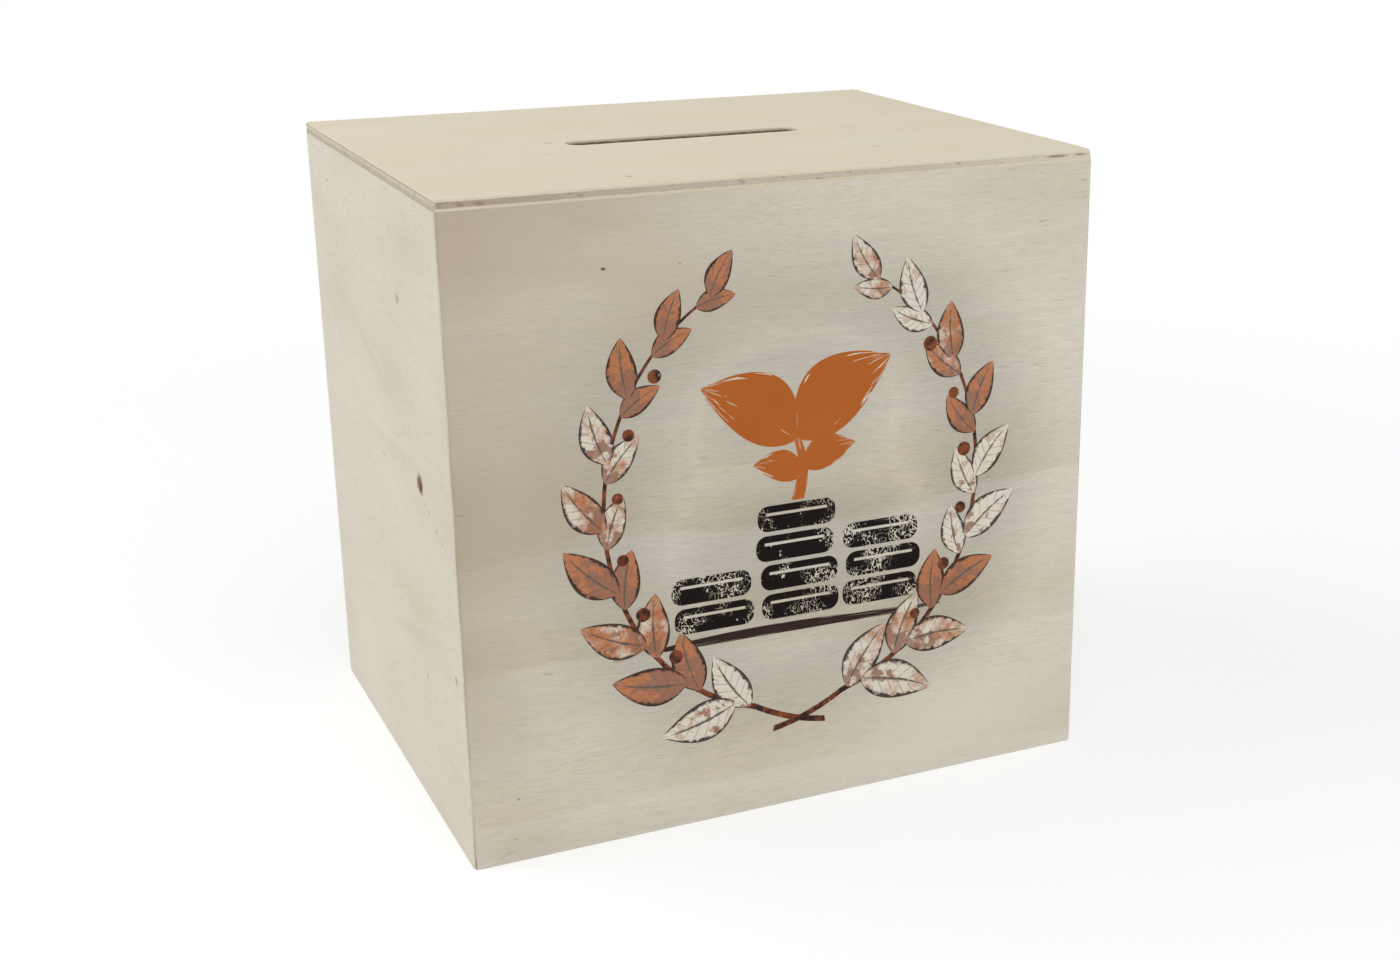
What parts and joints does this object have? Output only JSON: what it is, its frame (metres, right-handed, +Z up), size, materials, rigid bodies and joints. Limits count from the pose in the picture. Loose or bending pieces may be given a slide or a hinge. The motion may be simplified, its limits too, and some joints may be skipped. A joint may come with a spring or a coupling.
{
  "type": "wooden money box",
  "caption": "Wooden money box with a long coin slot in its glued lid and a screwed base panel that frees the case to empty it.",
  "frame": {"origin": "on the floor, under the middle of the box", "axes": "+Z up, the printed front faces -Y, +X to the right along the front"},
  "size_m": [0.124, 0.1, 0.12],
  "materials": {
    "wall_ply": "unfinished, sanded",
    "lid_ply": "unfinished, sanded",
    "base_ply": "unfinished, sanded",
    "post_wood": "planed",
    "screw_steel": "bright zinc"
  },
  "bodies": {
    "base": {"base_panel": "base_ply"},
    "case": {"front_panel": "wall_ply", "back_panel": "wall_ply", "left_panel": "wall_ply", "right_panel": "wall_ply", "lid_panel": "lid_ply", "front_left_post": "post_wood", "front_right_post": "post_wood", "back_left_post": "post_wood", "back_right_post": "post_wood"},
    "screw_front_left": {"front_left_screw": "screw_steel"},
    "screw_front_right": {"front_right_screw": "screw_steel"},
    "screw_back_left": {"back_left_screw": "screw_steel"},
    "screw_back_right": {"back_right_screw": "screw_steel"}
  },
  "joints": [
    {"name": "case_lift", "type": "slide", "parent": "base", "child": "case", "axis": [0, 0, 1], "range_m": [0, 0.08]},
    {"name": "front_left_screw_out", "type": "slide", "parent": "base", "child": "screw_front_left", "axis": [0, 0, -1], "range_m": [0, 0.017]},
    {"name": "front_right_screw_out", "type": "slide", "parent": "base", "child": "screw_front_right", "axis": [0, 0, -1], "range_m": [0, 0.017]},
    {"name": "back_left_screw_out", "type": "slide", "parent": "base", "child": "screw_back_left", "axis": [0, 0, -1], "range_m": [0, 0.017]},
    {"name": "back_right_screw_out", "type": "slide", "parent": "base", "child": "screw_back_right", "axis": [0, 0, -1], "range_m": [0, 0.017]}
  ]
}
